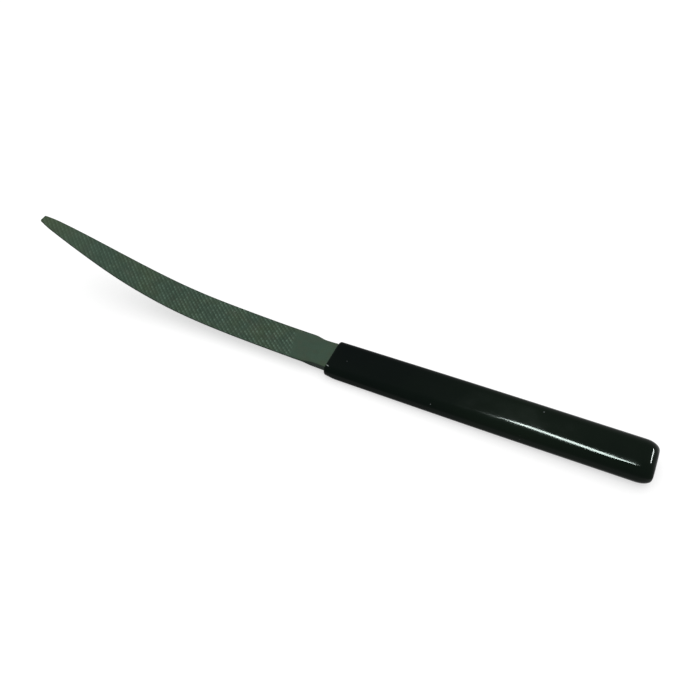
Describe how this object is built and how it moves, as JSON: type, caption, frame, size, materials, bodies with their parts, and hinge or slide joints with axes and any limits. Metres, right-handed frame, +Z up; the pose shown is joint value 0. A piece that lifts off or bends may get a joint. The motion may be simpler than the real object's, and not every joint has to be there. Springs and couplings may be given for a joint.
{
  "type": "riffler file",
  "caption": "Bent half-round riffler file: upturned steel blade with double-cut teeth and a blunt narrow tip, plain shank, and a slim black vinyl handle with rounded corners.",
  "frame": {"origin": "centre of the bounding box at the level of the handle's flat underside, which rests on the bench", "axes": "+X along the handle from the neck to the butt, the tip points along -X; +Z up, the way the blade's flat face looks; Y across the width"},
  "size_m": [0.215, 0.0146, 0.024],
  "materials": {
    "steel": "dark grey hardened steel, satin, cut with teeth",
    "vinyl": "glossy black soft vinyl"
  },
  "bodies": {
    "root": {"file_blank": "steel", "vinyl_handle": "vinyl"}
  },
  "joints": []
}
